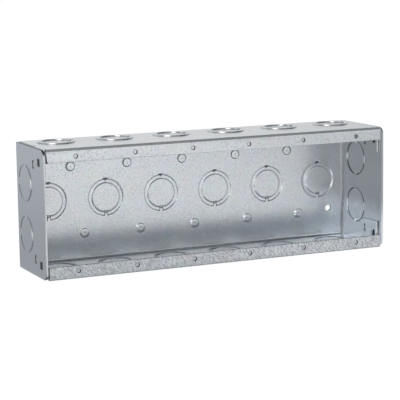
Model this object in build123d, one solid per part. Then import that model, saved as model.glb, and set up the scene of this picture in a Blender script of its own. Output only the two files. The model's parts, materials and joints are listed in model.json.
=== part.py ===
from build123d import *
import os

# A gangable masonry box folded from one galvanised sheet blank. X runs along the row of gangs,
# the open front faces -Y, and the bottom knockouts rest on Z = 0. All sizes are millimetres.

# Driving dimensions: the devices that the box takes, and the sheet.
gang_count = 6
gang_pitch = 46.04
device_span = 83.34
screw_hole = 2.9
screw_edge = 5.955
screw_land = 4.1
sheet = 1.6

# Folds: inside radii, the slits at their ends and the play between folded neighbours.
front_bend = 0.8
back_bend = 1.6
fold_relief = 0.6
wall_play = 0.7
end_inset = 0.35
end_corner = 5.5

# Lock tabs: turned down from the top and bottom walls and lanced to the end walls.
tab_reach = 20.0
tab_setback = 2.1
lance_inset = 4.0
lance_pitch = 14.0
lance_edge = 10.2
lance_height = 5.4
lance_length = 4.5
lance_rise = 1.5
lance_slit = 1.2
stake_edge = 12.8
stake_height = 5.6
stake_arm = 2.0
stake_slit = 0.9
stake_land = 4.0

# Knockouts: half-sheared outwards, so each leaves a step on both faces of the sheet.
knockout_large = 28.2
knockout_small = 22.2
knockout_rise = 0.8
knockout_sides = 20
shear_lean = 20
knockout_tie = 2.6
pry_width = 3.8
pry_height = 1.2
pry_depth = 1.2
tie_ramp = 1.8
tab_to_knockout = 0.7
knockout_to_back = 8.1
end_knockout_pitch = 38.1

# Back wall: round stand-offs between the gangs, and two open holes for mounting screws.
bump_diameter = 6.6
bump_rise = 0.7
bump_sides = 10
bump_offset = 5.1
bump_height = 25.8
mount_hole = 4.76
mount_from_end = 13.2
mount_height = 23.9

# Sizes that follow from the driving ones.
box_length = gang_count * gang_pitch + 2 * sheet
box_height = device_span + 2 * screw_edge
flange_height = screw_edge + screw_land
front_outer = front_bend + sheet
back_outer = back_bend + sheet
tab_front = front_outer + tab_setback
tab_length = lance_inset + lance_pitch + stake_land
knockout_front = tab_front + tab_length + tab_to_knockout
box_depth = knockout_front + knockout_large + knockout_to_back
large_radius = knockout_large / 2
small_radius = knockout_small / 2

# Planes of the folded sheet in the part's frame.
x_inner = gang_count * gang_pitch / 2
x_outer = box_length / 2
x_flat = x_inner - back_bend
y_front = -(box_depth + knockout_rise) / 2
y_back = y_front + box_depth
y_bend = y_back - back_outer
y_knockout = y_front + knockout_front + large_radius
z_bottom = knockout_rise
z_top = z_bottom + box_height
z_middle = (z_bottom + z_top) / 2
gang_centres = [(i - (gang_count - 1) / 2) * gang_pitch for i in range(gang_count)]


def block(low, high):
    """Box between two corners."""
    size = [b - a for a, b in zip(low, high)]
    middle = [(a + b) / 2 for a, b in zip(low, high)]
    return Pos(*middle) * Box(*size)


def all_corners(piece):
    """The piece and its three mirror images about the middle of the length and of the height."""
    pair = [piece, mirror(piece, about=Plane.YZ)]
    middle_plane = Plane.XY.offset(z_middle)
    return pair + [mirror(each, about=middle_plane) for each in pair]


def quarter_bend(inner, outer):
    """Quarter ring of a fold, in its own plane, in the quadrant where both coordinates are positive."""
    ring = Circle(outer) - Circle(inner)
    return ring & Pos(outer / 2, outer / 2) * Rectangle(outer, outer)


def channel():
    """Back, top and bottom walls and the turned-in front flanges: one C-section along X."""
    depth_middle = (y_front + y_back) / 2
    outline = Pos(depth_middle, z_middle) * Rectangle(box_depth, box_height)
    outline = fillet(outline.vertices().group_by(Axis.X)[0], front_outer)
    outline = fillet(outline.vertices().group_by(Axis.X)[-1], back_outer)
    hollow = Pos(depth_middle, z_middle) * Rectangle(box_depth - 2 * sheet, box_height - 2 * sheet)
    hollow = fillet(hollow.vertices().group_by(Axis.X)[0], front_bend)
    hollow = fillet(hollow.vertices().group_by(Axis.X)[-1], back_bend)
    mouth = Pos(y_front, z_middle) * Rectangle(4 * sheet, box_height - 2 * flange_height)
    section = Plane.YZ * (outline - hollow - mouth)
    walls = extrude(section, amount=x_inner - wall_play, both=True)
    back_corner = block((x_flat, y_bend - fold_relief, 0), (x_outer, y_back, z_top))
    tab_notch = block(
        (x_inner - front_outer, y_front + front_outer, z_top - sheet),
        (x_inner, y_front + tab_front + tab_length + fold_relief, z_top),
    )
    return walls - [back_corner, mirror(back_corner, about=Plane.YZ)] - all_corners(tab_notch)


def end_wall():
    """Right end: a plate with rounded front corners, and the fold that joins it to the back."""
    plate_height = box_height - 2 * end_inset
    plate = Pos((y_front + y_bend) / 2, z_middle) * Rectangle(y_bend - y_front, plate_height)
    plate = fillet(plate.vertices().group_by(Axis.X)[0], end_corner)
    plate = Pos(x_inner, 0, 0) * extrude(Plane.YZ * plate, amount=sheet)
    fold_height = plate_height - 2 * fold_relief
    fold = extrude(quarter_bend(back_bend, back_outer), amount=fold_height / 2, both=True)
    return plate + Pos(x_flat, y_bend, z_middle) * fold


def lock_tab():
    """Upper right tab: the top wall's fold and the leaf that lies against the end wall."""
    section = Pos(-front_outer, -front_outer) * quarter_bend(front_bend, front_outer)
    leaf_height = tab_reach - front_outer
    section += Pos(-sheet / 2, -front_outer - leaf_height / 2) * Rectangle(sheet, leaf_height)
    corner = Plane((x_inner, y_front + tab_front, z_top), x_dir=(1, 0, 0), z_dir=(0, -1, 0))
    return extrude(corner * section, amount=-tab_length)


def lance():
    """Upper right lance: its wedge pressed in behind a slit, as (inner wedge, outer wedge, slit)."""
    open_edge = lance_inset + lance_slit / 2
    hinge = open_edge + lance_length
    wedge = make_face(Polyline((0, open_edge), (0, hinge), (-lance_rise, open_edge), close=True))
    wedge = Pos(0, y_front + tab_front, z_top - lance_edge) * extrude(
        wedge, amount=lance_height / 2, both=True
    )
    slit_middle = (x_inner, y_front + tab_front + lance_inset, z_top - lance_edge)
    slit = Pos(*slit_middle) * Box(4 * sheet, lance_slit, lance_height)
    return Pos(x_inner - sheet, 0, 0) * wedge, Pos(x_outer, 0, 0) * wedge, slit


def stake():
    """Upper right stake: a bracket-shaped slit through tab and end wall, open towards the front."""
    tongue_height = stake_height - 2 * stake_slit
    outline = Rectangle(stake_arm, stake_height)
    outline -= Pos(-stake_slit, 0) * Rectangle(stake_arm, tongue_height)
    y_stake = y_front + tab_front + lance_inset + lance_pitch
    slit = extrude(Plane.YZ * outline, amount=2 * sheet, both=True)
    return Pos(x_inner, y_stake, z_top - stake_edge) * slit


def pressed_step(radius, rise, lean, sides):
    """Round step with leaning flanks, drawn with few flat sides because the box has so many of them."""
    prism = extrude(RegularPolygon(radius, sides), amount=rise)
    flanks = prism.faces().filter_by(Axis.Z, reverse=True)
    return draft(flanks, Plane.XY, lean)


def pry_slit():
    """Pocket where a screwdriver starts a knockout, from the inner face outwards."""
    return Pos(0, 0, pry_depth / 2) * Box(pry_width, pry_height, pry_depth)


def concentric_knockout():
    """Ring step round a flush disc, tied to the sheet across the ring at its -Y side."""
    outer_step = pressed_step(large_radius, knockout_rise, shear_lean, knockout_sides)
    flush_disc = pressed_step(small_radius, knockout_rise, -shear_lean, knockout_sides)
    tie = Pos(0, -(large_radius + small_radius) / 2) * Box(knockout_tie, small_radius, 4 * sheet)
    return outer_step - flush_disc - tie


def end_knockout():
    """Whole disc step, tied to the sheet by a short ramp at its +Y and -Y sides."""
    disc = pressed_step(large_radius, knockout_rise, shear_lean, knockout_sides)
    foot, crest = (large_radius, 0), (large_radius - tie_ramp, knockout_rise)
    ramp = make_face(Polyline(foot, crest, (large_radius, knockout_rise), close=True))
    ramp = extrude(Plane.YZ * ramp, amount=knockout_tie / 2, both=True)
    return disc - [ramp, mirror(ramp, about=Plane.XZ)]


def bump():
    """Stand-off pressed into the box, drawn as the step on the inner face."""
    return mirror(pressed_step(bump_diameter / 2, bump_rise, shear_lean, bump_sides), about=Plane.XY)


def outward(x, y, z, x_dir, z_dir):
    """Inner-face frame of a wall, with local Z pointing out of the box."""
    return Location(Plane((x, y, z), x_dir=x_dir, z_dir=z_dir))


def back_frame(x, z):
    """Inner-face frame of the back wall."""
    return outward(x, y_back - sheet, z, (-1, 0, 0), (0, 1, 0))


def add_knockouts(box):
    """Steps of all knockouts: cut into the inner faces and raised on the outer faces."""
    through = Pos(0, 0, sheet)
    ring = concentric_knockout()
    disc = end_knockout()
    frames = [(back_frame(x, z_middle), ring) for x in gang_centres]
    for x in gang_centres:
        frames.append((outward(x, y_knockout, z_top - sheet, (0, -1, 0), (0, 0, 1)), ring))
        frames.append((outward(x, y_knockout, z_bottom + sheet, (0, 1, 0), (0, 0, -1)), ring))
    for z in (z_middle - end_knockout_pitch / 2, z_middle + end_knockout_pitch / 2):
        frames.append((outward(x_inner, y_knockout, z, (0, 1, 0), (1, 0, 0)), disc))
        frames.append((outward(-x_inner, y_knockout, z, (0, -1, 0), (-1, 0, 0)), disc))
    box += [frame * through * step for frame, step in frames]
    return box - [frame * step for frame, step in frames]


def back_details(box):
    """Pry slits of the back knockouts, the stand-offs and the mounting holes."""
    slits = []
    for x in gang_centres:
        slits.append(back_frame(x, z_middle + large_radius) * pry_slit())
        slits.append(back_frame(x, z_middle - small_radius) * pry_slit())
    stand_offs = []
    for left, right in zip(gang_centres, gang_centres[1:]):
        between = (left + right) / 2
        stand_offs.append(back_frame(between - bump_offset, z_middle + bump_height))
        stand_offs.append(back_frame(between + bump_offset, z_middle - bump_height))
    box += [frame * bump() for frame in stand_offs]
    box -= [frame * Pos(0, 0, sheet) * bump() for frame in stand_offs]
    hole = Cylinder(mount_hole / 2, 4 * sheet)
    x_mount = x_inner - mount_from_end
    holes = [
        back_frame(x_mount, z_middle - mount_height) * hole,
        back_frame(-x_mount, z_middle + mount_height) * hole,
    ]
    return box - slits - holes


def device_holes(box):
    """Screw holes for the devices, in the upper and lower flanges at each gang."""
    across = Rot(90, 0, 0) * Cylinder(screw_hole / 2, 4 * sheet)
    heights = (z_middle - device_span / 2, z_middle + device_span / 2)
    return box - [Pos(x, y_front, z) * across for x in gang_centres for z in heights]


def gang_box():
    """The whole folded box."""
    right_end = end_wall()
    box = channel() + [right_end, mirror(right_end, about=Plane.YZ)] + all_corners(lock_tab())
    inner_wedge, outer_wedge, slit = lance()
    box += all_corners(inner_wedge)
    box -= all_corners(outer_wedge) + all_corners(slit) + all_corners(stake())
    return device_holes(back_details(add_knockouts(box)))


os.makedirs("parts", exist_ok=True)
export_step(gang_box(), "parts/gang_box.step")
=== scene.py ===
"""Galvanised multi-gang box on a white studio floor, built around its packed CAD frame."""

import json
import math
from collections import namedtuple

import bmesh
import bpy
from bpy.props import FloatProperty, FloatVectorProperty, PointerProperty
from mathutils import Matrix, Vector


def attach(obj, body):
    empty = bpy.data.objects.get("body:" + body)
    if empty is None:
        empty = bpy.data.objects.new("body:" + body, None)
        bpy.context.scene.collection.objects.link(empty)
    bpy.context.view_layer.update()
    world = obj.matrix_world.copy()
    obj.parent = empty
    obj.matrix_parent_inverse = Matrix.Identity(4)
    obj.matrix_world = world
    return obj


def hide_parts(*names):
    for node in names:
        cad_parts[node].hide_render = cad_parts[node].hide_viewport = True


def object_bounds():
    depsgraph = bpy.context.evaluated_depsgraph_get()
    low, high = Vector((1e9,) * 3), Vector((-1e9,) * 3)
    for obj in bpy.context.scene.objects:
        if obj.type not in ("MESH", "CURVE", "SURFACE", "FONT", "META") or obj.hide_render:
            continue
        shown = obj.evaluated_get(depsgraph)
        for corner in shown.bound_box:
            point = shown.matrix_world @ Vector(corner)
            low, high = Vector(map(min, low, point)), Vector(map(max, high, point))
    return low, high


bl_info = {
    "name": "Multi-gang Box",
    "version": (1, 0, 0),
    "blender": (4, 5, 0),
    "location": "View3D > Sidebar > Gang Box",
    "description": "Builds a folded sheet-steel device box with half-sheared knockouts and sets its studio",
    "category": "Object",
}

MM = 0.001
QUARTER = math.pi / 2
WHOLE = 2 * math.pi
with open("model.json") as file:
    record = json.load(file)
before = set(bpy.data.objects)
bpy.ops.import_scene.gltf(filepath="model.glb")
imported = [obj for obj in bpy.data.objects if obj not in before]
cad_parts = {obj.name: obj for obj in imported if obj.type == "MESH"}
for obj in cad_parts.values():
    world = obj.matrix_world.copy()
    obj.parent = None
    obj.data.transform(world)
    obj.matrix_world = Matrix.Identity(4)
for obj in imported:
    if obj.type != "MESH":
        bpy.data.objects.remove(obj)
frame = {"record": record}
cad_low, cad_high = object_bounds()
mounts = {mount["name"]: mount for mount in frame["record"]["mounts"]}
device_mounts = [mount for name, mount in mounts.items() if name.startswith("device_screws")]
wall_mount = mounts["wall_screws"]

# Painted shading is 0 on the plain coat, 1 for painted shade in a crevice and on a shaded side, and -1 for a
# painted highlight on an edge. Past 1 the dark reaches further. A cut edge has painted shading on the outer
# face beside it, on its outer side and on its inner side.
EdgeShading = namedtuple("EdgeShading", "face outer inner")
UNPAINTED_EDGE = EdgeShading(0.0, 0.0, 0.0)
# Then follow the painted shade in the knockouts' lines, ties and pry slits, at the stand-offs' feet, and in
# the cuts.
BACK_LINE, LAST_BACK_LINE, TOP_LINE, BOTTOM_LINE = 0.42, 0.25, 0.6, 1.1
TIE_SHADE, OUTER_PRY_SHADE, INNER_PRY_SHADE = 0.7, 0.8, 0.5
UPPER_FOOT_SHADE, LOWER_FOOT_SHADE = 1.0, 0.65
CUT_SHADE, TAB_STAKE_SHADE, LANCE_SHADE, HINGE_SHADE = 1.2, 0.4, 1.4, 0.55
CUT_SHADE_REACH = 0.7 * MM
# Vertex layer that carries the painted shade and the painted highlights.
PAINTED_SHADING_LAYER = "painted_shade_layer"

# A fade is an axis, two places along it in metres, and the tone at the first place. From there it turns to
# the finish's own tone.
Finish = namedtuple("Finish", "name tone depth specks strokes roughening fade", defaults=(0.0, 0.0, None))
FINISHES = (
    Finish("zinc_speckled", tone=1.0, depth=0.13, specks=0.3),
    Finish("zinc_smooth", tone=1.0, depth=0.04, specks=0.05),
    Finish("zinc_streaked", tone=0.92, depth=0.12, specks=0.2, strokes=0.45),
    # The right end wall's dark tone is painted shade, and its fade to a lighter tone low down is painted
    # light.
    Finish("zinc_shaded_right_end", tone=0.635, depth=0.04, specks=0.05, roughening=0.06, fade=("Z", 0.018, 0.040, 1.15)),
    # Darker copy for the lower flange's inside: painted shade that the back wall reflects.
    Finish("zinc_shaded_inside", tone=0.90, depth=0.10, specks=0.2, strokes=0.2),
    # Lighter copy for the bottom wall's inside: painted light.
    Finish("zinc_lit_bottom", tone=1.12, depth=0.08, specks=0.1),
)
SPECKLED, SMOOTH, STREAKED, SHADED_RIGHT_END, SHADED_INSIDE, LIT_BOTTOM = range(len(FINISHES))


def length(name, description, millimetres):
    """Length property with its default in millimetres."""
    return FloatProperty(
        name=name, description=description, unit="LENGTH", min=0.0, precision=5, default=millimetres * MM
    )


def degrees(name, description, value):
    """Angle property with its default in degrees."""
    return FloatProperty(name=name, description=description, subtype="ANGLE", default=math.radians(value))


class SheetSettings(bpy.types.PropertyGroup):
    """Sheet and folds"""

    thickness: length("Thickness", "Thickness of the sheet", 1.6)
    front_bend: length("Front bend", "Inside radius of the flange and tab folds", 0.8)
    back_bend: length("Back bend", "Inside radius of the folds round the back wall", 1.6)
    edge: length("Edge", "Rounding of the cut edges", 0.2)
    margin: length("Margin", "Strip along each panel's outline in which its shading turns", 0.3)
    flange: length("Flange", "Height of the front flanges", 10.055)
    # The upper flange's painted shade fades over this strip.
    flange_margin: length("Flange margin", "Strip along the upper flange's outline where soil fades", 0.9)
    relief: length("Fold relief", "Slits at the ends of the folds", 0.6)
    play: length("Wall play", "Gap between the flange ends and the end walls", 0.7)
    end_inset: length("End inset", "How far the end walls stop short of the top and bottom", 0.35)
    end_corner: length("End corner", "Radius of the end walls' front corners", 5.5)


class KnockoutSettings(bpy.types.PropertyGroup):
    """Knockouts and stand-offs"""

    large: length("Outer circle", "Diameter of the outer shear circle", 28.2)
    small: length("Inner circle", "Diameter of the inner shear circle", 22.2)
    end_disc: length("End disc", "Diameter of the end walls' knockouts at mid step", 26.8)
    rise: length("Rise", "How far the sheared ring stands out of the wall", 0.8)
    shear: length("Shear width", "Width of the rounded step along a shear circle", 1.0)
    top_shear: length("Top shear width", "Width of the step on the top wall", 0.42)
    # The line along a step is painted shade.
    line: length("Line", "Width of the soiled line along a step", 1.0)
    tie: length("Tie", "Width of the metal left across a ring", 2.6)
    tie_ramp: length("Tie ramp", "Length of the ramp at an end wall's tie", 1.8)
    pry_width: length("Pry slit width", "Length of a pry slit along its circle", 4.2)
    pry_height: length("Pry slit height", "Width of a pry slit across its circle", 1.8)
    pry_depth: length("Pry slit depth", "How deep a pry slit is pressed in", 1.2)
    from_front: length("From front", "Knockout centres behind the front face", 41.3)
    end_pitch: length("End pitch", "Distance between an end wall's two knockouts", 38.1)
    stand_off: length("Stand-off", "Diameter of the round stand-offs", 6.6)
    stand_off_rise: length("Stand-off rise", "Height of the round stand-offs", 0.7)
    stand_off_side: length("Stand-off side", "Stand-off from the line between two gangs", 5.1)
    stand_off_height: length("Stand-off height", "Stand-off from mid height", 25.8)
    mount_drop: length("Mount drop", "Wall screw hole from mid height", 23.9)
    # The burnished side of a knockout is a painted highlight.
    back_glint: degrees("Back glint", "Side of the back knockouts that is burnished", 155)
    level_glint: degrees("Level glint", "Side of the top and bottom knockouts that is burnished", 234)


class TabSettings(bpy.types.PropertyGroup):
    """Lock tabs and the cuts that hold them to the end walls"""

    reach: length("Reach", "How far a tab is turned down", 20.0)
    front: length("Front", "Front edge of a tab behind the front face", 4.5)
    run: length("Run", "Length of a tab", 22.0)
    lance_inset: length("Lance inset", "Lance slit behind the tab's front edge", 4.0)
    lance_edge: length("Lance edge", "Lance from the top or bottom face", 10.2)
    lance_height: length("Lance height", "Height of the lance", 5.4)
    lance_length: length("Lance length", "Length of the lance's slope", 4.5)
    lance_rise: length("Lance rise", "How far the lance is pressed in", 1.5)
    lance_slit: length("Lance slit", "Width of the lance's slit", 1.2)
    play: length("Play", "Gap between a tab and its end wall", 0.05)
    stake_inset: length("Stake inset", "Stake slit behind the tab's front edge", 18.0)
    stake_edge: length("Stake edge", "Stake from the top or bottom face", 12.8)
    stake_height: length("Stake height", "Height of the stake slit", 5.6)
    stake_arm: length("Stake arm", "Length of the stake slit's arms", 2.0)
    stake_slit: length("Stake slit", "Width of the stake slit", 0.9)


class ZincSettings(bpy.types.PropertyGroup):
    """Zinc coat"""

    colour: FloatVectorProperty(
        name="Zinc colour",
        description="Reflection colour of the clean zinc coat",
        subtype="COLOR",
        size=3,
        min=0.0,
        max=1.0,
        default=(0.775, 0.81, 0.845),
    )
    roughness: FloatProperty(
        name="Roughness", description="Roughness of zinc", subtype="FACTOR", min=0.0, max=1.0, default=0.25
    )


class StudioSettings(bpy.types.PropertyGroup):
    """Camera"""

    camera_place: FloatVectorProperty(
        name="Camera place",
        description="Where the camera stands",
        subtype="TRANSLATION",
        unit="LENGTH",
        size=3,
        default=(-0.49413, -1.07690, 0.23280),
    )
    camera_yaw: degrees("Camera yaw", "Turn of the view from straight at the open front", -24.49)
    camera_pitch: degrees("Camera pitch", "Tilt of the view below the horizon", 9.008)
    camera_roll: degrees("Camera roll", "Turn of the view about its own axis", -0.828)
    lens: FloatProperty(
        name="Focal length",
        description="Focal length on a 36 mm wide sensor",
        subtype="DISTANCE_CAMERA",
        default=140.96,
    )


def link_object(name, data):
    """Adds an object with this data to the scene."""
    made = bpy.data.objects.new(name, data)
    bpy.context.scene.collection.objects.link(made)
    return made


def step(low, high, value):
    """Smooth rise from 0 at low to 1 at high."""
    share = min(max((value - low) / (high - low), 0.0), 1.0)
    return share * share * (3 - 2 * share)


def rectangle(left, right, low, high):
    """Corners of a rectangle, anticlockwise from its lower left."""
    return [(left, low), (right, low), (right, high), (left, high)]


class SheetMesh:
    """Faces of the folded sheet, gathered panel by panel."""

    weld = 1e-6
    sharp_turn = math.radians(50)

    def __init__(self, thickness, edge, margin):
        self.thickness, self.edge, self.margin = thickness, edge, margin
        self.bm = bmesh.new()
        self.painted_shading = self.bm.verts.layers.float.new(PAINTED_SHADING_LAYER)
        self.finish = SPECKLED

    def vertex(self, point, painted_shading=0.0):
        """Adds a point with its painted shading."""
        made = self.bm.verts.new(point)
        made[self.painted_shading] = painted_shading
        return made

    def face(self, corners):
        """Adds a face in the present finish."""
        self.bm.faces.new(corners).material_index = self.finish

    def strip(self, first, second, closed=True):
        """Quads between two rows of points."""
        count = len(first)
        for i in range(count if closed else count - 1):
            j = (i + 1) % count
            self.face((first[i], first[j], second[j], second[i]))

    def strips(self, rows, closed=True):
        """Quads from each row of points to the next one."""
        for upper, lower in zip(rows, rows[1:]):
            self.strip(upper, lower, closed)

    def fill(self, loops):
        """Flat faces inside the first loop and outside the others."""
        edges = []
        for loop in loops:
            for a, b in zip(loop, loop[1:] + loop[:1]):
                edges.append(self.bm.edges.get((a, b)) or self.bm.edges.new((a, b)))
        filled = bmesh.ops.triangle_fill(self.bm, use_beauty=True, edges=edges)["geom"]
        for each in filled:
            if isinstance(each, bmesh.types.BMFace):
                each.material_index = self.finish

    def panel(self, place, outline, features=(), edge_shading=None, inner_finish=None, margin=None):
        """Flat part of the sheet; place takes u, v and the height above its inner face.

        Corners (u, v, cut) run anticlockwise, and cut marks a free edge to the next corner. From a corner's
        u and v, edge_shading gives the painted shade (negative: painted highlight) of its cut edge. The inner
        face may have a finish of its own. The margin is the strip along the outline in which shading and
        painted shade fade.
        """
        margin = margin or self.margin
        rows = [[], [], [], []]
        for (u, v, _), flat in zip(outline, inset_corners(outline, self.edge)):
            painted_shading = edge_shading(u, v) if edge_shading else UNPAINTED_EDGE
            rows[0].append(self.vertex(place(*flat, self.thickness), painted_shading.face))
            rows[1].append(self.vertex(place(u, v, self.thickness - self.edge), painted_shading.outer))
            rows[2].append(self.vertex(place(u, v, self.edge), painted_shading.inner))
            rows[3].append(self.vertex(place(*flat, 0.0)))
        for i, (_, _, cut) in enumerate(outline):
            if cut:
                j = (i + 1) % len(outline)
                self.strips([(row[i], row[j]) for row in rows], closed=False)
        rims = [feature(self, place) for feature in features]
        support = inset_corners(outline, self.edge + margin, margin)
        outer_finish = self.finish
        for row, depth, side in ((rows[0], self.thickness, 0), (rows[3], 0.0, 1)):
            if side and inner_finish is not None:
                self.finish = inner_finish
            border = [self.vertex(place(*corner, depth)) for corner in support]
            self.strip(row, border)
            self.fill([border] + [rim[side] for rim in rims])
        self.finish = outer_finish

    def bend(self, place, ends, end_shading=(0.0, 0.0), crest_shading=0.0, hollow_shading=(0.0, 0.0), finish=None):
        """Fold between two ends along u; place takes u, the share of the turn and the height.

        The painted shade is that of its two cut ends, of its outer side, and of its hollow side at the two
        ends. A fold may have a finish of its own.
        """
        stations = 9
        panel_finish = self.finish
        self.finish = panel_finish if finish is None else finish
        shares = [i / (stations - 1) for i in range(stations)]
        halves = []
        for end, inward, cut, hollow in zip(ends, (1, -1), end_shading, hollow_shading):
            rounded = end + inward * self.edge
            clear = rounded + inward * self.margin
            rows = []
            for u, depth, painted_shading in (
                (clear, self.thickness, crest_shading),
                (rounded, self.thickness, 0.0),
                (end, self.thickness - self.edge, cut),
                (end, self.edge, cut),
                (rounded, 0.0, 0.0),
                (clear, 0.0, hollow),
            ):
                row = []
                for share in shares:
                    faded = painted_shading * math.sin(math.pi * share) ** 2 if u == clear else painted_shading
                    row.append(self.vertex(place(u, share, depth), faded))
                rows.append(row)
            self.strips(rows, closed=False)
            halves.append(rows)
        for side in (0, -1):
            self.strip(halves[0][side], halves[1][side], closed=False)
        self.finish = panel_finish

    def block(self, corners, faces=((0, 1, 2, 3),)):
        """Faces on corners of their own, against a panel or a fold."""
        points = [self.vertex(corner) for corner in corners]
        for face in faces:
            self.face([points[i] for i in face])

    def to_object(self, name, materials):
        """Joins the panels into one mesh object with rounded shading."""
        bmesh.ops.remove_doubles(self.bm, verts=self.bm.verts, dist=self.weld)
        bmesh.ops.recalc_face_normals(self.bm, faces=self.bm.faces)
        for face in self.bm.faces:
            face.smooth = True
        for edge in self.bm.edges:
            edge.smooth = not edge.is_manifold or edge.calc_face_angle() < self.sharp_turn
        mesh = bpy.data.meshes.new(name)
        self.bm.to_mesh(mesh)
        self.bm.free()
        for material in materials:
            mesh.materials.append(material)
        return link_object(name, mesh)


def inset_corners(outline, from_cut, from_fold=0.0):
    """Corners of an anticlockwise outline, moved inwards from its cut edges and from its folds."""
    straight = 1e-4
    moved = []
    for i, (u, v, cut) in enumerate(outline):
        before, after = outline[i - 1], outline[(i + 1) % len(outline)]
        corner = Vector((u, v))
        arriving = (corner - Vector(before[:2])).normalized()
        leaving = (Vector(after[:2]) - corner).normalized()
        shift_before = from_cut if before[2] else from_fold
        shift_after = from_cut if cut else from_fold
        turn = arriving.x * leaving.y - arriving.y * leaving.x
        if abs(turn) < straight:
            inward = Vector((-leaving.y, leaving.x))
            moved.append(corner + inward * min(shift_before, shift_after))
        else:
            moved.append(corner + leaving * (shift_before / turn) - arriving * (shift_after / turn))
    return moved


def on_circle(centre, radius, angle):
    """Place on a circle."""
    return centre[0] + radius * math.cos(angle), centre[1] + radius * math.sin(angle)


def polar_patch(sheet, place, centre, radii, angles, base, height, painted_shading):
    """Round patch on one face of the sheet; gives the points of its rim."""
    rings = []
    for radius in radii:
        ring = []
        for angle in angles:
            point = place(*on_circle(centre, radius, angle), base + height(radius, angle))
            ring.append(sheet.vertex(point, painted_shading(radius, angle)))
        rings.append(ring)
    sheet.strips(rings)
    middle = sheet.vertex(place(*centre, base + height(0.0, 0.0)), painted_shading(0.0, 0.0))
    for i, point in enumerate(rings[-1]):
        sheet.face((point, rings[-1][(i + 1) % len(angles)], middle))
    return rings[0]


def pressed_patch(centre, radii, angles, height, outer_shading, inner_shading, inner_height=None):
    """Feature: round patch that is pressed into both faces of the sheet."""

    def feature(sheet, place):
        outer = polar_patch(sheet, place, centre, radii, angles, sheet.thickness, height, outer_shading)
        inner = polar_patch(sheet, place, centre, radii, angles, 0.0, inner_height or height, inner_shading)
        return outer, inner

    return feature


def across_step(radius, width, count=7):
    """Radii across one shear step, from its outside inwards."""
    return [radius + width * (0.5 - i / (count - 1)) for i in range(count)]


def even_angles(count, fine_at=()):
    """Angles round a patch, closer together at the ties and slits."""
    fine_reach, fine_count, least = 0.22, 12, 0.008
    angles = {round(WHOLE * i / count, 6) for i in range(count)}
    for middle in fine_at:
        for i in range(fine_count + 1):
            angle = middle + fine_reach * (2 * i / fine_count - 1)
            angles.add(round(angle % WHOLE, 6))
    ordered = sorted(angles)
    kept = [ordered[0]]
    for angle in ordered[1:]:
        if angle - kept[-1] > least:
            kept.append(angle)
    return kept


def line_share(radius, circle, width):
    """Share of a line along a circle, from 1 on the circle to 0 beside it."""
    half = 0.45 * width
    return max(0.0, 1.0 - abs(radius - circle) / half)


def sheared(inside, shear):
    """Rise from 0 to 1 across a shear step, by the distance inside its circle."""
    return step(-shear / 2, shear / 2, inside)


def beside_tie(tie, shear, aside):
    """Rise from 0 on a tie to 1 beside it, by the distance from its middle."""
    return step(tie / 2 - shear / 2, tie / 2 + shear / 2, abs(aside))


def concentric_knockout(settings, centre, tie_angle, dark, glint, shear, pried=False):
    """Feature: ring sheared outwards round a flush disc, tied across the ring at one side.

    Dark is the painted shade in its lines, and the sides that glint get a painted highlight. A pried one has
    a slit on its outer circle opposite the tie, and one on its inner circle at the tie.
    """
    large, small, line = settings.large / 2, settings.small / 2, settings.line
    pry_angle = tie_angle + math.pi
    angles = even_angles(64, (tie_angle % WHOLE, pry_angle % WHOLE))
    reach, apron, foot = (shear + line) / 2, 1.6 * line, 0.35 * shear
    radii = [large + apron, large + reach, *across_step(large, shear), large - reach]
    radii += [small + reach, *across_step(small, shear), small - reach, small - apron]
    radii += [0.6 * small, 0.25 * small]

    def tied(radius, angle):
        if math.cos(angle - tie_angle) < 0:
            return 1.0
        return beside_tie(settings.tie, shear, radius * math.sin(angle - tie_angle))

    def height(radius, angle):
        ring = sheared(large - radius, shear) * sheared(radius - small, shear)
        return settings.rise * ring * tied(radius, angle)

    def slit(radius, angle):
        found = 0.0
        for circle, at in ((large, pry_angle), (small, tie_angle)):
            along = radius * math.sin(angle - at) / (settings.pry_width / 2)
            across = (radius * math.cos(angle - at) - circle) / (settings.pry_height / 2)
            found = max(found, 1.0 - step(0.5, 1.1, along * along + across * across))
        return found

    def inner_height(radius, angle):
        pressed = settings.pry_depth * slit(radius, angle) if pried else 0.0
        return max(height(radius, angle), pressed)

    # How much a side of the circles takes the painted highlight.
    def shine(angle):
        narrowness = 8
        return max(0.0, math.cos(angle - glint)) ** narrowness

    def outer_shading(radius, angle):
        dark_share = max(line_share(radius, large + foot, line), line_share(radius, small - foot, line))
        front, rear = shine(angle), shine(angle + math.pi)
        wide = 4 * line
        bright = max(front * line_share(radius, large, wide), rear * line_share(radius, small, wide))
        return (dark * dark_share * (1 - max(front, rear)) - bright) * tied(radius, angle)

    def inner_shading(radius, angle):
        outer_dark_share = 0.7 * line_share(radius, large - foot, line)
        dark_share = max(outer_dark_share, line_share(radius, small + foot, line))
        bright = shine(angle) * line_share(radius, small + shear, 2 * line)
        held = tied(radius, angle)
        plain = (dark * dark_share * (1 - shine(angle)) - bright) * held
        if not pried:
            return plain
        # Painted shade at the ties and in the pry slits.
        on_ring = step(small - shear, small, radius) * step(0, shear, large + shear - radius)
        at_tie = 4 * held * (1 - held) * on_ring
        slit_shade = OUTER_PRY_SHADE if radius > (large + small) / 2 else INNER_PRY_SHADE
        return max(TIE_SHADE * at_tie, slit_shade * slit(radius, angle)) or plain

    return pressed_patch(centre, radii, angles, height, outer_shading, inner_shading, inner_height)


# Line along an end knockout's step: its offset and its widening at the side,
# in widths of the step, and its painted shade.
StepLine = namedtuple("StepLine", "offset widening dark")


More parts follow.
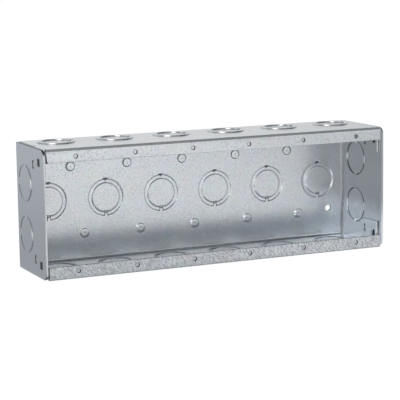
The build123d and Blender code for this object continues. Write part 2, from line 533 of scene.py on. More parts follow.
def end_knockout(settings, centre):
    """Feature: whole disc sheared outwards, tied by a short ramp above and below.

    The place's first coordinate runs from the front to the rear of the box.
    """
    disc, shear = settings.end_disc / 2, settings.shear
    angles = even_angles(72, (QUARTER, 3 * QUARTER))
    radii = [disc + reach * shear for reach in (2.4, 1.9, 1.4, 0.9)] + across_step(disc, shear)
    radii += [disc - reach * shear for reach in (0.75, 1.1, 1.5, 2.0, 2.6, 3.2)]
    radii += [0.5 * disc, 0.25 * disc]

    def tied(radius, angle):
        return 1 - beside_tie(settings.tie, shear, radius * math.cos(angle))

    def height(radius, angle):
        ramped = step(-shear / 2, settings.tie_ramp, disc - radius)
        share = tied(radius, angle)
        return settings.rise * (sheared(disc - radius, shear) * (1 - share) + ramped * share)

    def painted_shading(radius, angle, front, rear):
        """Painted shade along the side of the step that stays in sight, with a painted highlight spot at
        front and rear.
        """
        side = math.cos(angle)
        line = rear if side > 0 else front
        width = (1 + line.widening * abs(side)) * shear
        share = line_share(radius, disc + line.offset * abs(side) * shear, width)
        spot = step(0.965, 0.992, abs(side))
        tie = tied(radius, angle)
        highlight_paint = spot * share + tie * line_share(radius, disc - shear, 2.6 * shear)
        return line.dark * share * (1 - spot) * (1 - tie) - highlight_paint

    def outer_shading(radius, angle):
        return painted_shading(radius, angle, front=StepLine(0.45, 1.0, 0.6), rear=StepLine(-1.6, 2.2, 1.2))

    def inner_shading(radius, angle):
        return painted_shading(radius, angle, front=StepLine(1.1, 2.0, 1.2), rear=StepLine(-0.45, 1.4, 0.8))

    return pressed_patch(centre, radii, angles, height, outer_shading, inner_shading)


def stand_off(settings, centre, shade, dark):
    """Feature: round boss pressed into the box, with painted shade round its foot, most at the shaded side,
    and in its middle.
    """
    boss, shear = settings.stand_off / 2, settings.shear
    radii = [boss + 1.2 * shear] + across_step(boss, shear) + [0.6 * boss, 0.3 * boss]

    def height(radius, angle):
        return -settings.stand_off_rise * sheared(boss - radius, shear)

    def outer_shading(radius, angle):
        return 0.6 * line_share(radius, boss - 0.35 * shear, shear)

    def inner_shading(radius, angle):
        foot = dark * (0.35 + 0.65 * max(0.0, math.cos(angle - shade)))
        centre_shade = 0.6 * line_share(radius, 0.0, boss / 2)
        return centre_shade + foot * line_share(radius, boss + 0.2 * shear, (0.6 + 0.8 * foot) * shear)

    return pressed_patch(centre, radii, even_angles(40), height, outer_shading, inner_shading)


def round_hole(radius, centre):
    """Feature: screw hole with rounded rims and painted shade in it, most at one side."""
    shade = -0.5

    def feature(sheet, place):
        edge, deep = sheet.edge, sheet.thickness
        rows = []
        for reach, depth, even_shading, side_shading in (
            (radius + 3 * edge, deep, 0.0, 0.0),
            (radius + edge, deep, 0.7, 0.0),
            (radius, deep - edge, 0.6, 0.5),
            (radius, edge, 0.4, 0.6),
            (radius + edge, 0.0, 0.0, 0.0),
            (radius + 3 * edge, 0.0, 0.0, 0.0),
        ):
            row = []
            for angle in even_angles(32):
                painted_shading = even_shading + side_shading * math.cos(angle - shade)
                row.append(sheet.vertex(place(*on_circle(centre, reach, angle), depth), painted_shading))
            rows.append(row)
        sheet.strips(rows)
        return rows[0], rows[-1]

    return feature


def slot(corners, dark=CUT_SHADE):
    """Feature: straight-walled cut through the sheet, with painted shade on its walls and rim."""
    rim = inset_corners([(u, v, True) for u, v in corners], -CUT_SHADE_REACH)

    def feature(sheet, place):
        rows = []
        for points, depth, painted_shading in (
            (rim, sheet.thickness, 0.0),
            (corners, sheet.thickness, dark),
            (corners, 0.0, dark),
            (rim, 0.0, 0.0),
        ):
            rows.append([sheet.vertex(place(*point, depth), painted_shading) for point in points])
        sheet.strips(rows)
        return rows[0], rows[-1]

    return feature


# Front of a lance's slit, rear edge of the slit, hinge of the slope, and lower and upper side.
Lance = namedtuple("Lance", "front open_edge hinge low high")


def lance_recess(lance, rise):
    """Feature: sloping recess on the outer face, ending in a slit through the sheet."""
    front, open_edge, hinge, low, high = lance

    def feature(sheet, place):
        deep, margin = sheet.thickness, sheet.margin
        # Painted shade in the recess and its slit, lighter at the hinge.
        outer_shading = (LANCE_SHADE, HINGE_SHADE, HINGE_SHADE, LANCE_SHADE)
        outer = [
            sheet.vertex(place(*corner, deep), dark_share)
            for corner, dark_share in zip(rectangle(front, hinge, low, high), outer_shading)
        ]
        floor = [sheet.vertex(place(open_edge, v, deep - rise), LANCE_SHADE) for v in (low, high)]
        slit = rectangle(front, open_edge, low, high)
        inner = [sheet.vertex(place(*corner, 0.0), LANCE_SHADE) for corner in slit]
        rims = []
        for far, depth, ring in ((hinge, deep, outer), (open_edge, 0.0, inner)):
            border = rectangle(front - margin, far + margin, low - margin, high + margin)
            rims.append([sheet.vertex(place(*corner, depth)) for corner in border])
            sheet.strip(ring, rims[-1])
        sheet.face((outer[1], outer[2], floor[1], floor[0]))
        sheet.face((floor[0], floor[1], inner[2], inner[1]))
        sheet.face((outer[0], outer[3], inner[3], inner[0]))
        sheet.face((outer[0], outer[1], floor[0], inner[1], inner[0]))
        sheet.face((outer[3], outer[2], floor[1], inner[2], inner[3]))
        return rims

    return feature


class BoxPlan:
    """Planes and places of the folded box, from the CAD frame and the settings."""

    def __init__(self, scene):
        self.sheet, self.knockout = scene.gang_box_sheet, scene.gang_box_knockout
        self.tab = scene.gang_box_tab
        rise = self.knockout.rise
        self.thickness = self.sheet.thickness
        self.front_outer = self.sheet.front_bend + self.thickness
        self.back_outer = self.sheet.back_bend + self.thickness
        self.x_inner = cad_high.x - rise - self.thickness
        self.x_wall = self.x_inner - self.sheet.play
        self.x_flat = self.x_inner - self.sheet.back_bend
        self.x_leaf = self.x_inner - self.thickness - self.tab.play
        self.x_tab = self.x_leaf - self.sheet.front_bend
        self.y_front, self.y_back = cad_low.y, cad_high.y - rise
        self.y_bend = self.y_back - self.back_outer
        self.y_tab = self.y_front + self.tab.front
        self.y_knockout = self.y_front + self.knockout.from_front
        self.z_bottom, self.z_top = cad_low.z + rise, cad_high.z - rise
        self.z_middle = (self.z_bottom + self.z_top) / 2
        self.z_fold = {up: self.level(up, self.front_outer) for up in (1, -1)}
        self.z_back = {up: self.level(up, self.back_outer) for up in (1, -1)}
        self.gangs = sorted(mount["pos_m"][0] for mount in device_mounts)

    def level(self, up, inset=0.0):
        """Height of the top face (up is 1) or of the bottom face (up is -1), or of a level inside it."""
        return (self.z_top if up > 0 else self.z_bottom) - up * inset


def quarter_fold(radius, to_point):
    """Place of a fold; to_point takes u and the reach along the fold's first and last direction."""

    def place(u, share, w):
        turn, reach = share * QUARTER, radius + w
        return to_point(u, reach * math.cos(turn), reach * math.sin(turn))

    return place


def add_back(sheet, plan):
    """Back wall with its knockouts, stand-offs and wall screw holes, and its two long folds."""
    knockout = plan.knockout
    glint, shear = knockout.back_glint, knockout.shear
    features = []
    for x in plan.gangs:
        dark = LAST_BACK_LINE if x == plan.gangs[-1] else BACK_LINE
        centre = (x, plan.z_middle)
        features.append(concentric_knockout(knockout, centre, -QUARTER, dark, glint, shear, pried=True))
    aside, above = knockout.stand_off_side, knockout.stand_off_height
    upper_shade, lower_shade = math.radians(160), math.radians(-80)
    for left, right in zip(plan.gangs, plan.gangs[1:]):
        between = (left + right) / 2
        upper, lower = (between - aside, plan.z_middle + above), (between + aside, plan.z_middle - above)
        features.append(stand_off(knockout, upper, upper_shade, UPPER_FOOT_SHADE))
        features.append(stand_off(knockout, lower, lower_shade, LOWER_FOOT_SHADE))
    pattern = wall_mount["dims"]
    x_mount = math.sqrt((pattern["pcd_mm"] * MM / 2) ** 2 - knockout.mount_drop**2)
    for side in (1, -1):
        centre = (side * x_mount, plan.z_middle - side * knockout.mount_drop)
        features.append(round_hole(pattern["hole_r_mm"] * MM, centre))
    corners = rectangle(-plan.x_flat, plan.x_flat, plan.z_back[-1], plan.z_back[1])
    outline = [(u, v, False) for u, v in corners]
    y_inner = plan.y_back - plan.thickness
    sheet.panel(lambda u, v, w: Vector((u, y_inner + w, v)), outline, features)
    # Painted shade in the hollow of the lower back fold.
    for up, hollow in ((1, (0.0, 0.0)), (-1, (0.55, 0.3))):
        z_axis = plan.z_back[up]
        place = quarter_fold(
            plan.sheet.back_bend,
            lambda u, first, last: Vector((u, plan.y_bend + first, z_axis + up * last)),
        )
        sheet.bend(place, (-plan.x_flat, plan.x_flat), hollow_shading=hollow)


def add_level_wall(sheet, plan, up):
    """Top wall (up is 1) or bottom wall (up is -1) with its knockouts and its front fold."""
    t, knockout = plan.thickness, plan.knockout
    z_face, z_axis = plan.level(up), plan.z_fold[up]
    front = plan.y_front + plan.front_outer
    tab_back = plan.y_tab + plan.tab.run
    shoulder = tab_back + plan.sheet.relief
    corner = plan.y_bend - plan.sheet.relief
    right = [
        (plan.x_tab, front, True),
        (plan.x_tab, plan.y_tab, False),
        (plan.x_tab, tab_back, True),
        (plan.x_tab, shoulder, True),
        (plan.x_wall, shoulder, True),
        (plan.x_wall, corner, True),
        (plan.x_flat, corner, True),
        (plan.x_flat, plan.y_bend, False),
    ]
    right_cuts = [cut for _, _, cut in right]
    left = [(-u, v) for u, v, _ in reversed(right)]
    outline = right + [(u, v, cut) for (u, v), cut in zip(left, right_cuts[-2::-1] + [False])]
    if up > 0:
        tie_angle, shear, dark = 0.0, knockout.top_shear, TOP_LINE
        inner_finish, fold_finish, crest_shading = None, None, 0.0
    else:
        tie_angle, shear, dark = math.pi, knockout.shear, BOTTOM_LINE
        inner_finish, fold_finish, crest_shading = LIT_BOTTOM, STREAKED, 0.45
    features = [
        concentric_knockout(knockout, (x, plan.y_knockout), tie_angle, dark, knockout.level_glint, shear)
        for x in plan.gangs
    ]

    def wall(u, v, w):
        return Vector((u, v, z_face + up * (w - t)))

    sheet.panel(wall, outline, features, inner_finish=inner_finish)
    fold = quarter_fold(
        plan.sheet.front_bend, lambda u, first, last: Vector((u, front - first, z_axis + up * last))
    )
    # Painted shade at the fold's cut ends; the lower fold also has it along its crest.
    ends, end_shading = (-plan.x_wall, plan.x_wall), (1.3, 0.2)
    sheet.bend(fold, ends, end_shading, crest_shading, finish=fold_finish)
    for side in (1, -1):
        inner, outer = side * plan.x_tab, side * plan.x_wall
        sheet.block([fold(inner, 1, 0), fold(outer, 1, 0), fold(outer, 1, t), fold(inner, 1, t)])


def add_flange(sheet, plan, up):
    """Front flange with its device screw holes."""
    fold, free = plan.z_fold[up], plan.level(up, plan.sheet.flange)
    right, left = plan.x_wall, -plan.x_wall
    near = left + plan.thickness
    if up > 0:
        # Painted shade on the flange's cut edges, deepest by the left end wall.
        outline = [(left, free, True), (near, free, True), (right, free, True), (right, fold, False)]
        outline.append((left, fold, True))
        left_shading, near_shading = EdgeShading(1.6, 1.3, 1.3), EdgeShading(0.0, 1.2, 1.2)
        right_shading = EdgeShading(0.0, 0.3, 0.2)
        inner_finish, margin = None, plan.sheet.flange_margin
    else:
        outline = [(left, fold, False), (right, fold, True), (right, free, True), (near, free, True)]
        outline.append((left, free, True))
        left_shading, near_shading = EdgeShading(0.7, 1.3, 1.3), UNPAINTED_EDGE
        right_shading = EdgeShading(0.0, 0.4, 0.3)
        inner_finish, margin = SHADED_INSIDE, None
    features = []
    for mount in device_mounts:
        z = mount["pos_m"][2] + up * mount["dims"]["spacing_y_mm"] * MM / 2
        features.append(round_hole(mount["dims"]["hole_r_mm"] * MM, (mount["pos_m"][0], z)))

    def edge_shading(u, v):
        return {left: left_shading, near: near_shading, right: right_shading}[u]

    y_inner = plan.y_front + plan.thickness
    sheet.panel(
        lambda u, v, w: Vector((u, y_inner - w, v)), outline, features, edge_shading, inner_finish, margin
    )


def tab_cuts(plan, up):
    """Lance and corners of the stake slit on a tab, as (y, z) places."""
    tab = plan.tab
    y_slit, half_slit = plan.y_tab + tab.lance_inset, tab.lance_slit / 2
    z_lance, half_height = plan.level(up, tab.lance_edge), tab.lance_height / 2
    lance = Lance(
        front=y_slit - half_slit,
        open_edge=y_slit + half_slit,
        hinge=y_slit + half_slit + tab.lance_length,
        low=z_lance - half_height,
        high=z_lance + half_height,
    )
    y, z = plan.y_tab + tab.stake_inset, plan.level(up, tab.stake_edge)
    arm, half, slit = tab.stake_arm / 2, tab.stake_height / 2, tab.stake_slit
    stake = rectangle(y - arm, y + arm, z - half, z + half)
    stake += [
        (y - arm, z + half - slit),
        (y + arm - slit, z + half - slit),
        (y + arm - slit, z - half + slit),
        (y - arm, z - half + slit),
    ]
    return lance, stake


def add_end(sheet, plan, side):
    """End wall at +X (side is 1) or -X (side is -1), with its knockouts and the fold to the back wall."""
    settings = plan.sheet
    low, high = plan.z_bottom + settings.end_inset, plan.z_top - settings.end_inset
    fold_low, fold_high = low + settings.relief, high - settings.relief
    corner, front, back = settings.end_corner, plan.y_front, plan.y_bend
    corner_steps = 8
    outline = []
    for centre_z, start in ((high - corner, QUARTER), (low + corner, math.pi)):
        for i in range(corner_steps + 1):
            turn = start + i / corner_steps * QUARTER
            outline.append((*on_circle((front + corner, centre_z), corner, turn), True))
    outline += [(back, low, True), (back, fold_low, False), (back, fold_high, True), (back, high, True)]
    features = []
    for up in (1, -1):
        z = plan.z_middle + up * plan.knockout.end_pitch / 2
        features.append(end_knockout(plan.knockout, (plan.y_knockout, z)))
        lance, stake = tab_cuts(plan, up)
        features.append(lance_recess(lance, plan.tab.lance_rise))
        features.append(slot(stake))

    # Left end wall: painted shade along its cut edge, deepest at the corners, with a painted highlight on its
    # inner side away from them. Right end wall: a faint painted highlight along the outer side.
    def edge_shading(u, v):
        if side > 0:
            return EdgeShading(0.0, -0.2, 0.0)
        at_corner = max(step(high - corner, high, v), step(low + corner, low, v))
        outer = 0.35 + 0.95 * at_corner
        return EdgeShading(max(0.0, outer - 0.6), outer, -0.5 + 1.8 * at_corner)

    sheet.panel(lambda u, v, w: Vector((side * (plan.x_inner + w), u, v)), outline, features, edge_shading)
    fold = quarter_fold(
        settings.back_bend,
        lambda u, first, last: Vector((side * (plan.x_flat + first), plan.y_bend + last, u)),
    )
    # Painted shade in the hollow of the right fold.
    fold_finish, hollow = (SPECKLED, (0.65, 0.55)) if side > 0 else (None, (0.0, 0.0))
    sheet.bend(fold, (fold_low, fold_high), hollow_shading=hollow, finish=fold_finish)
    t = plan.thickness
    for end, seam in ((fold_low, plan.z_back[-1]), (fold_high, plan.z_back[1])):
        sheet.block([fold(end, 1, 0), fold(end, 1, t), fold(seam, 1, t), fold(seam, 1, 0)])


def add_tab(sheet, plan, side, up):
    """Lock tab turned down (or up) from the top (or bottom) wall against an end wall."""
    tab = plan.tab
    fold_z, free_z = plan.z_fold[up], plan.level(up, tab.reach)
    front, back = plan.y_tab, plan.y_tab + tab.run
    corners = rectangle(front, back, min(fold_z, free_z), max(fold_z, free_z))
    cuts = (True, True, False, True) if up > 0 else (False, True, True, True)
    outline = [(u, v, cut) for (u, v), cut in zip(corners, cuts)]
    lance, stake = tab_cuts(plan, up)
    lance_slit = rectangle(lance.front, lance.open_edge, lance.low, lance.high)
    features = [slot(lance_slit), slot(stake, TAB_STAKE_SHADE)]

    def leaf(u, v, w):
        return Vector((side * (plan.x_leaf + w), u, v))

    # Painted shade along the tabs' cut edges, with painted highlights on some of the right tabs' front edges.
    def edge_shading(u, v):
        if side < 0:
            return EdgeShading(0.7, 1.3, 1.3)
        if up > 0:
            return EdgeShading(0.0, 0.1, 0.1) if u == back else EdgeShading(0.0, -0.8, -0.8)
        if u == back:
            return EdgeShading(0.0, 0.45, 0.45) if v == free_z else EdgeShading(0.0, 0.1, 0.1)
        return EdgeShading(0.7, 1.2, 0.3) if v == free_z else EdgeShading(0.7, 1.1, -0.4)

    sheet.panel(leaf, outline, features, edge_shading)
    fold = quarter_fold(
        plan.sheet.front_bend,
        lambda u, first, last: Vector((side * (plan.x_tab + first), u, fold_z + up * last)),
    )
    sheet.bend(fold, (front, back))
    root_depth, crest_edge = tab.play, lance.open_edge + tab.play
    sides = (lance.low, lance.high)
    foot = [leaf(crest_edge, v, root_depth) for v in sides]
    hinge = [leaf(lance.hinge, v, root_depth) for v in sides]
    crest = [leaf(crest_edge, v, -tab.lance_rise) for v in sides]
    wedge = ((0, 2, 4), (1, 5, 3), (2, 3, 5, 4), (0, 4, 5, 1), (0, 1, 3, 2))
    sheet.block(foot + hinge + crest, wedge)


def set_input(tree, socket, value):
    """Links another socket to this input, or sets a plain value on it."""
    if isinstance(value, bpy.types.NodeSocket):
        tree.links.new(value, socket)
    else:
        socket.default_value = value


def new_group(name, inputs, outputs):
    """Shader node group with sockets of these types; gives it and the sockets inside it."""
    group = bpy.data.node_groups.new(name, "ShaderNodeTree")
    for in_out, sockets in (("INPUT", inputs), ("OUTPUT", outputs)):
        for socket, kind in sockets.items():
            group.interface.new_socket(socket, in_out=in_out, socket_type=f"NodeSocket{kind}")
    return group, group.nodes.new("NodeGroupInput").outputs, group.nodes.new("NodeGroupOutput").inputs


def math_node(tree, operation, *values, kind="ShaderNodeMath"):
    """Math node on values or sockets; gives its output."""
    node = tree.nodes.new(kind)
    node.operation = operation
    for socket, value in zip(node.inputs, values):
        set_input(tree, socket, value)
    return node.outputs[0]


def vector_node(tree, operation, *values):
    """Vector math node on vectors, colours or sockets; gives its output."""
    return math_node(tree, operation, *values, kind="ShaderNodeVectorMath")


def ramp_node(tree, value, low, high, start=0.0, stop=1.0):
    """Smooth turn from start at a value's low limit to stop at its high one; gives its output."""
    node = tree.nodes.new("ShaderNodeMapRange")
    node.interpolation_type = "SMOOTHSTEP"
    for name, number in (("From Min", low), ("From Max", high), ("To Min", start), ("To Max", stop)):
        node.inputs[name].default_value = number
    tree.links.new(value, node.inputs["Value"])
    return node.outputs["Result"]


def noise_node(tree, place, scale, detail=2.0):
    """Noise texture at a place, in cells per unit of length; gives its value and colour."""
    node = tree.nodes.new("ShaderNodeTexNoise")
    node.inputs["Detail"].default_value = detail
    node.inputs["Scale"].default_value = scale
    tree.links.new(place, node.inputs["Vector"])
    return node.outputs["Fac"], node.outputs["Color"]


def axes_node(tree, place):
    """Coordinates of a place, by the names of their axes."""
    node = tree.nodes.new("ShaderNodeSeparateXYZ")
    tree.links.new(place, node.inputs[0])
    return node.outputs


def mixed(tree, share, first, second):
    """Mix of two colours; gives its output."""
    node = tree.nodes.new("ShaderNodeMix")
    node.data_type = "RGBA"
    for name, value in (("Factor", share), ("A", first), ("B", second)):
        set_input(tree, node.inputs[name], value)
    return node.outputs["Result"]


def spangle_group():
    """Zinc crystals: a fine tinted grain on a clean colour, with dark specks that thin out down and right."""
    inputs = {"Place": "Vector", "Clean": "Color", "Depth": "Float", "Specks": "Float"}
    group, given, result = new_group("zinc_spangle", inputs, {"Colour": "Color", "Height": "Float"})
    place, clean = given["Place"], given["Clean"]
    grain_scale, tint_scale, pit_scale, patch_scale = 700.0, 110.0, 950.0, 50.0
    grain, _ = noise_node(group, place, grain_scale)
    _, tint = noise_node(group, place, tint_scale, detail=1.0)
    shade = math_node(group, "MULTIPLY", math_node(group, "SUBTRACT", grain, 0.5), 3.0)
    spread = vector_node(group, "ADD", vector_node(group, "SUBTRACT", tint, (0.5, 0.5, 0.5)), shade)
    change = vector_node(group, "MULTIPLY", spread, given["Depth"])
    grown = vector_node(group, "MULTIPLY_ADD", clean, change, clean)
    pits, _ = noise_node(group, place, pit_scale, detail=0.0)
    patches, _ = noise_node(group, place, patch_scale, detail=1.0)
    axes = axes_node(group, place)
    across = ramp_node(group, axes["X"], -0.12, 0.1, 1.0, 0.45)
    upwards = ramp_node(group, axes["Z"], 0.015, 0.04, 0.3, 1.0)
    dense = ramp_node(group, patches, 0.38, 0.62, 0.25, 1.0)
    speck = ramp_node(group, pits, 0.60, 0.68)
    for share in (across, upwards, dense, given["Specks"]):
        speck = math_node(group, "MULTIPLY", speck, share)
    speck_colour = (0.16, 0.17, 0.19, 1.0)
    group.links.new(mixed(group, speck, grown, speck_colour), result["Colour"])
    group.links.new(math_node(group, "SUBTRACT", grain, speck), result["Height"])
    return group


def strokes_group():
    """Short dark strokes that run slantwise down the sheet."""
    inputs = {"Place": "Vector", "Strength": "Float"}
    group, given, result = new_group("slanting_strokes", inputs, {"Strokes": "Float"})
    slant, stroke_length, stroke_width = math.radians(50), 2.2 * MM, 0.48 * MM
    turned = group.nodes.new("ShaderNodeMapping")
    turned.vector_type = "TEXTURE"
    turned.inputs["Rotation"].default_value = (0.0, slant, 0.0)
    turned.inputs["Scale"].default_value = (stroke_length, stroke_length, stroke_width)
    group.links.new(given["Place"], turned.inputs["Vector"])
    streaks, _ = noise_node(group, turned.outputs[0], 1.0, detail=1.0)
    stroke = ramp_node(group, streaks, 0.43, 0.62)
    group.links.new(math_node(group, "MULTIPLY", stroke, given["Strength"]), result["Strokes"])
    return group


def group_node(tree, group, **values):
    """Node of a group in a material, with its own values or sockets; gives its outputs."""
    node = tree.nodes.new("ShaderNodeGroup")
    node.node_tree = group
    for name, value in values.items():
        set_input(tree, node.inputs[name], value)
    return node.outputs


def zinc_material(settings, finish, spangles, slanting):
    """Zinc coat with these two groups, with painted shade in its crevices and painted highlights on its
    raised edges.
    """
    stroke_colour, painted_shade_colour = (0.13, 0.14, 0.16, 1.0), (0.07, 0.075, 0.085, 1.0)
    painted_highlight_colour = (0.95, 0.96, 0.97, 1.0)
    cloud_scale, roughness_spread = 60.0, 0.012
    material = bpy.data.materials.new(finish.name)
    material.use_nodes = True
    tree = material.node_tree
    shader = tree.nodes["Principled BSDF"].inputs
    shader["Metallic"].default_value = 1.0
    place = tree.nodes.new("ShaderNodeTexCoord").outputs["Object"]

    def toned(tone):
        return (*(tone * channel for channel in settings.colour), 1.0)

    clean = toned(finish.tone)
    # A fade paints light and shade as a tone that turns along an axis.
    if finish.fade:
        axis, start, stop, start_tone = finish.fade
        share = ramp_node(tree, axes_node(tree, place)[axis], start, stop)
        clean = mixed(tree, share, toned(start_tone), clean)
    spangle = group_node(tree, spangles, Place=place, Clean=clean, Depth=finish.depth, Specks=finish.specks)
    strokes = group_node(tree, slanting, Place=place, Strength=finish.strokes)
    colour = mixed(tree, strokes["Strokes"], spangle["Colour"], stroke_colour)
    # The painted shading layer darkens the colour towards painted shade and lightens it towards a painted
    # highlight.
    layer = tree.nodes.new("ShaderNodeAttribute")
    layer.attribute_name = PAINTED_SHADING_LAYER
    painted_shading = layer.outputs["Fac"]
    colour = mixed(tree, ramp_node(tree, painted_shading, 0.0, 1.0), colour, painted_shade_colour)
    highlight_paint = ramp_node(tree, math_node(tree, "MULTIPLY", painted_shading, -1.0), 0.0, 1.0)
    tree.links.new(mixed(tree, highlight_paint, colour, painted_highlight_colour), shader["Base Color"])
    clouds, _ = noise_node(tree, place, cloud_scale)
    middle = settings.roughness + finish.roughening
    rough = ramp_node(tree, clouds, 0.3, 0.7, middle - roughness_spread, middle + roughness_spread)
    tree.links.new(rough, shader["Roughness"])
    bump = tree.nodes.new("ShaderNodeBump")
    bump.inputs["Strength"].default_value = 0.14
    bump.inputs["Distance"].default_value = 0.1 * MM
    tree.links.new(spangle["Height"], bump.inputs["Height"])
    tree.links.new(bump.outputs["Normal"], shader["Normal"])
    return material


class GANGBOX_OT_sheet(bpy.types.Operator):
    """Build the folded sheet with its knockouts and give it its zinc coat"""

    bl_idname = "gang_box.sheet"
    bl_label = "Folded Sheet"

    def execute(self, context):
        plan = BoxPlan(context.scene)
        sheet = SheetMesh(plan.thickness, plan.sheet.edge, plan.sheet.margin)
        add_back(sheet, plan)
        for up in (1, -1):
            add_level_wall(sheet, plan, up)
        add_flange(sheet, plan, 1)
        for side, finish in ((1, SHADED_RIGHT_END), (-1, SMOOTH)):
            sheet.finish = finish
            add_end(sheet, plan, side)
            for up in (1, -1):
                add_tab(sheet, plan, side, up)
        sheet.finish = STREAKED
        add_flange(sheet, plan, -1)
        zinc, spangles, slanting = context.scene.gang_box_zinc, spangle_group(), strokes_group()
        materials = [zinc_material(zinc, finish, spangles, slanting) for finish in FINISHES]
        made = sheet.to_object("folded_sheet", materials)
        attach(made, "root")
        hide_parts("gang_box")
        return {"FINISHED"}


def blank_material(name):
    """Material with an empty node tree; gives it, its tree and the socket for its surface."""
    material = bpy.data.materials.new(name)
    material.use_nodes = True
    tree = material.node_tree
    tree.nodes.clear()
    return material, tree, tree.nodes.new("ShaderNodeOutputMaterial").inputs["Surface"]


def floor_material():
    """White floor that shows as plain white and keeps a faint shadow."""
    glow_share = 0.95
    material, tree, surface = blank_material("white_floor")
    nodes, links = tree.nodes, tree.links
    diffuse = nodes.new("ShaderNodeBsdfDiffuse")
    diffuse.inputs["Color"].default_value = (0.9, 0.9, 0.9, 1.0)
    glow = nodes.new("ShaderNodeEmission")
    glow.inputs["Strength"].default_value = 1.04
    path = nodes.new("ShaderNodeLightPath").outputs
    seen = math_node(tree, "MAXIMUM", path["Is Camera Ray"], path["Is Glossy Ray"])
    seen = math_node(tree, "MAXIMUM", seen, path["Is Transmission Ray"])
    mix = nodes.new("ShaderNodeMixShader")
    links.new(math_node(tree, "MULTIPLY", seen, glow_share), mix.inputs["Fac"])
    links.new(diffuse.outputs[0], mix.inputs[1])
    links.new(glow.outputs[0], mix.inputs[2])
    links.new(mix.outputs[0], surface)
    return material


def studio_world():
    """White low sky that fades to a grey ceiling and is dimmer at the back and at the right."""
    world = bpy.data.worlds.new("studio")
    bpy.context.scene.world = world
    world.use_nodes = True
    tree = world.node_tree
    background = tree.nodes["Background"].inputs
    axes = axes_node(tree, tree.nodes.new("ShaderNodeTexCoord").outputs["Generated"])
    lift = math_node(tree, "MULTIPLY", math_node(tree, "MAXIMUM", axes["Y"], 0.0), -0.6)
    level = math_node(tree, "ADD", axes["Z"], lift)
    sky = ramp_node(tree, level, 0.10, 0.45, 0.92, 0.28)
    facing = ramp_node(tree, axes["Y"], -0.2, 0.4, 1.0, 0.85)
    aside = ramp_node(tree, axes["X"], 0.38, 0.6, 1.0, 0.8)
    lit = math_node(tree, "MULTIPLY", facing, aside)
    tree.links.new(math_node(tree, "MULTIPLY", sky, lit), background["Color"])
    background["Strength"].default_value = 1.0


# Name, place, size in metres and power in watts of each lamp.
LAMPS = (("key", (-1.05, -0.90, 0.86), 0.8, 5.0), ("spark", (-0.74, -1.24, 0.45), 0.3, 0.35))
LAMP_TARGET = Vector((0.0, 0.0, 0.05))


def area_light(name, place, size, watts):
    """Square softbox that faces the box."""
    data = bpy.data.lights.new(name, "AREA")
    data.shape = "SQUARE"
    data.size = size
    data.energy = watts
    light = link_object(name, data)
    light.location = place
    light.rotation_euler = (LAMP_TARGET - Vector(place)).to_track_quat("-Z", "Y").to_euler()


def flat_object(name, corners, material):
    """Single face on the stage; the heights of its corners are from the floor."""
    mesh = bpy.data.meshes.new(name)
    mesh.from_pydata([(x, y, z + cad_low.z) for x, y, z in corners], [], [(0, 1, 2, 3)])
    mesh.materials.append(material)
    made = link_object(name, mesh)
    return made


def card(name, corners, tint, level):
    """Tinted card that only reflections see; level gives its brightness from its node tree and place."""
    material, tree, surface = blank_material(name)
    glow = tree.nodes.new("ShaderNodeEmission")
    glow.inputs["Color"].default_value = (*tint, 1.0)
    place = axes_node(tree, tree.nodes.new("ShaderNodeTexCoord").outputs["Object"])
    tree.links.new(level(tree, place), glow.inputs["Strength"])
    tree.links.new(glow.outputs[0], surface)
    made = flat_object(name, corners, material)
    made.visible_camera = False
    made.visible_shadow = False
    made.visible_diffuse = False


def left_level(tree, place):
    """Brightness of the left cards: darker towards the floor."""
    return ramp_node(tree, place["Z"], 0.0, 0.09, 0.37, 0.48)


def front_level(tree, place):
    """Brightness of the floor in front: darker to the right, far off at the left, and close to the box."""
    right = ramp_node(tree, place["X"], 0.05, 0.55, 0.865, 0.42)
    left = ramp_node(tree, place["X"], -0.12, 0.05, 0.5, 0.0)
    far = ramp_node(tree, place["Y"], -0.28, -0.16, 1.0, 0.0)
    lit = math_node(tree, "SUBTRACT", right, math_node(tree, "MULTIPLY", left, far))
    close = ramp_node(tree, place["Y"], -0.15, -0.08)
    drop = math_node(tree, "MULTIPLY", close, ramp_node(tree, place["X"], 0.0, 0.1, 0.12, 0.02))
    distant = ramp_node(tree, place["Y"], -0.5, -0.4, 1.06, 1.0)
    middle = ramp_node(tree, place["Y"], -0.4, -0.25, 0.0, 0.07)
    shaded = math_node(tree, "ADD", middle, drop)
    return math_node(tree, "MULTIPLY", lit, math_node(tree, "SUBTRACT", distant, shaded))


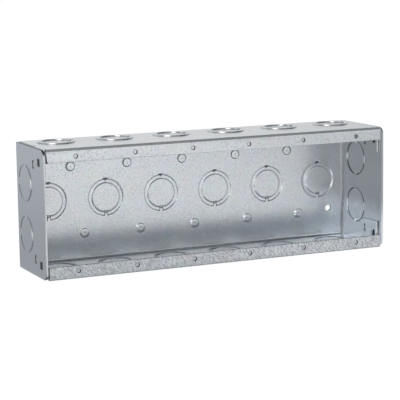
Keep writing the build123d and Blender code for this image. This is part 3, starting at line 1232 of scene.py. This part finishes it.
class GANGBOX_OT_studio(bpy.types.Operator):
    """Set the floor, the light and the camera"""

    bl_idname = "gang_box.studio"
    bl_label = "Studio"

    def execute(self, context):
        settings = context.scene.gang_box_studio
        context.scene.view_settings.view_transform = "Standard"
        studio_world()
        floor_reach = 20.0
        floor = rectangle(-floor_reach, floor_reach, -floor_reach, floor_reach)
        flat_object("floor", [(x, y, 0) for x, y in floor], floor_material())
        for lamp in LAMPS:
            area_light(*lamp)
        self.place_cards()
        data = bpy.data.cameras.new("camera")
        data.sensor_width = 36.0
        data.lens = settings.lens
        camera = link_object("camera", data)
        camera.matrix_world = (
            Matrix.Translation(settings.camera_place)
            @ Matrix.Rotation(settings.camera_yaw, 4, "Z")
            @ Matrix.Rotation(QUARTER - settings.camera_pitch, 4, "X")
            @ Matrix.Rotation(settings.camera_roll, 4, "Z")
        )
        context.scene.camera = camera
        return {"FINISHED"}

    def place_cards(self):
        """Sets an upright and a lying card at the left and a lying one in front."""
        cool, white = (0.97, 1.0, 1.06), (0.995, 1.0, 1.005)
        near, back, top, lift = cad_low.x, 0.07, 0.35, 0.0005
        far = near - 0.8
        upright = [(x, back, z) for x, z in rectangle(far, near, 0, top)]
        card("left_card", upright, cool, left_level)
        lying = [(x, y, 2 * lift) for x, y in rectangle(far, near, -0.05, back)]
        card("left_floor_card", lying, cool, left_level)
        front = [(x, y, lift) for x, y in rectangle(-1.0, 1.2, -1.2, 0.03)]
        card("front_floor_card", front, white, front_level)


class GANGBOX_PT_panel(bpy.types.Panel):
    """Settings and build steps of the box"""

    bl_idname = "GANGBOX_PT_panel"
    bl_label = "Gang Box"
    bl_space_type = "VIEW_3D"
    bl_region_type = "UI"
    bl_category = "Gang Box"

    def draw(self, context):
        for name, group in settings_groups.items():
            box = self.layout.box()
            box.label(text=group.__doc__)
            for each in group.__annotations__:
                box.prop(getattr(context.scene, name), each)
        for operator in operators:
            self.layout.operator(operator.bl_idname)


operators = (GANGBOX_OT_sheet, GANGBOX_OT_studio)
settings_groups = {
    "gang_box_sheet": SheetSettings,
    "gang_box_knockout": KnockoutSettings,
    "gang_box_tab": TabSettings,
    "gang_box_zinc": ZincSettings,
    "gang_box_studio": StudioSettings,
}
classes = (*settings_groups.values(), *operators, GANGBOX_PT_panel)


def register():
    for each in classes:
        bpy.utils.register_class(each)
    for name, group in settings_groups.items():
        setattr(bpy.types.Scene, name, PointerProperty(type=group))


def unregister():
    for name in settings_groups:
        delattr(bpy.types.Scene, name)
    for each in reversed(classes):
        bpy.utils.unregister_class(each)


def main():
    register()
    bpy.ops.gang_box.sheet()
    bpy.ops.gang_box.studio()


if __name__ == "__main__":
    main()
